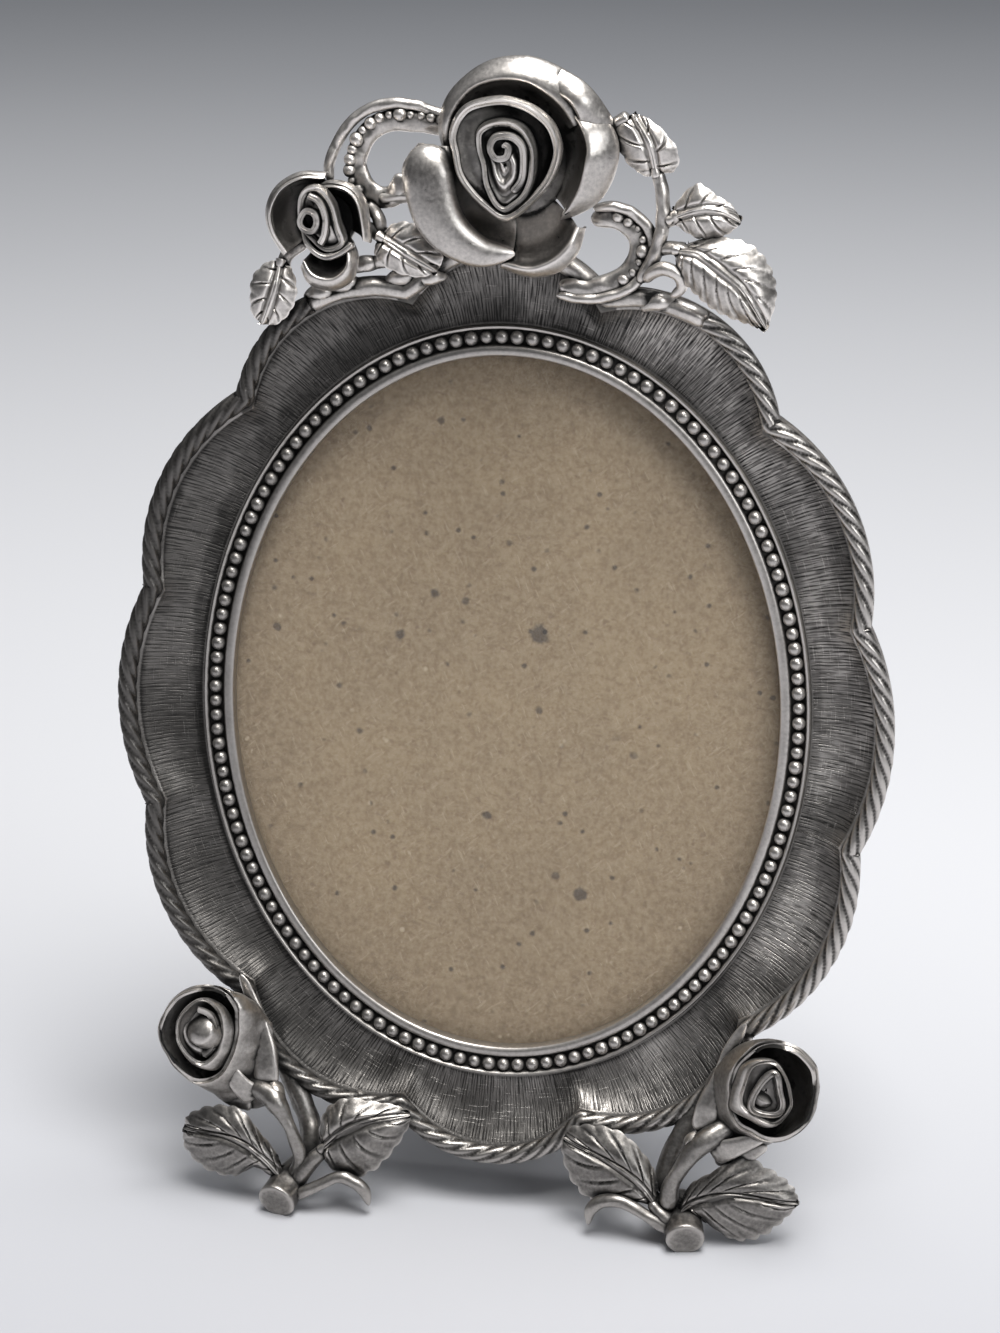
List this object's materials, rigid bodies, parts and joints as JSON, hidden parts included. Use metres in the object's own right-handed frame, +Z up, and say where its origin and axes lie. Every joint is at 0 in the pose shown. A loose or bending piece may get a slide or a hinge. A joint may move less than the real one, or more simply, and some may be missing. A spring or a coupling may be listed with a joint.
{
  "type": "oval picture frame",
  "caption": "Small oval tabletop picture frame of antique cast metal with a scalloped rope border, rose crest, rosebud feet and a folding easel leg.",
  "frame": {"origin": "on the table, under the middle of the bounding box", "axes": "+Z up, -Y out of the front of the frame, +X to the right seen from the front"},
  "size_m": [0.079, 0.0412, 0.118],
  "materials": {
    "antique_pewter": "cast, antiqued dark in the recesses and burnished on the raised parts",
    "clear_glass": "clear, polished",
    "chipboard": "plain grey-brown chipboard with short fibres",
    "velvet_board": "board covered in short dark velvet",
    "hinge_steel": "plain stamped sheet and wire"
  },
  "bodies": {
    "frame": {"cast_frame": "antique_pewter", "rope_border": "antique_pewter", "bead_ring": "antique_pewter", "crest_base": "antique_pewter", "large_rose_petals": "antique_pewter", "large_rose_heart": "antique_pewter", "small_rose_petals": "antique_pewter", "small_rose_heart": "antique_pewter", "upper_right_leaf": "antique_pewter", "right_upper_leaf": "antique_pewter", "right_large_leaf": "antique_pewter", "left_small_leaf": "antique_pewter", "crest_left_leaf": "antique_pewter", "tendril": "antique_pewter", "left_spray": "antique_pewter", "right_spray": "antique_pewter", "left_bud": "antique_pewter", "right_bud": "antique_pewter", "left_outer_leaf": "antique_pewter", "left_inner_leaf": "antique_pewter", "right_outer_leaf": "antique_pewter", "right_inner_leaf": "antique_pewter", "glass_pane": "clear_glass", "backing_board": "chipboard", "back_cover": "velvet_board", "hinge_plate": "hinge_steel", "hinge_pin": "hinge_steel", "hinge_rivets": "hinge_steel", "turn_button_posts": "hinge_steel"},
    "leg": {"easel_leg": "velvet_board", "leg_strap": "hinge_steel", "leg_rivets": "hinge_steel"},
    "button_body_1": {"turn_button_1": "hinge_steel"},
    "button_body_2": {"turn_button_2": "hinge_steel"},
    "button_body_3": {"turn_button_3": "hinge_steel"},
    "button_body_4": {"turn_button_4": "hinge_steel"}
  },
  "joints": [
    {"name": "leg_hinge", "type": "hinge", "parent": "frame", "child": "leg", "pos_m": [0, 0.00264, 0.06359], "axis": [1, 0, 0], "range_deg": [-20, 0]},
    {"name": "turn_button_1_pivot", "type": "hinge", "parent": "frame", "child": "button_body_1", "pos_m": [0.02436, 0.00249, 0.07739], "axis": [0, 0.9945, -0.1045], "continuous": true},
    {"name": "turn_button_2_pivot", "type": "hinge", "parent": "frame", "child": "button_body_2", "pos_m": [-0.02436, 0.00249, 0.07739], "axis": [0, 0.9945, -0.1045], "continuous": true},
    {"name": "turn_button_3_pivot", "type": "hinge", "parent": "frame", "child": "button_body_3", "pos_m": [-0.02436, -0.00289, 0.02625], "axis": [0, 0.9945, -0.1045], "continuous": true},
    {"name": "turn_button_4_pivot", "type": "hinge", "parent": "frame", "child": "button_body_4", "pos_m": [0.02436, -0.00289, 0.02625], "axis": [0, 0.9945, -0.1045], "continuous": true}
  ]
}
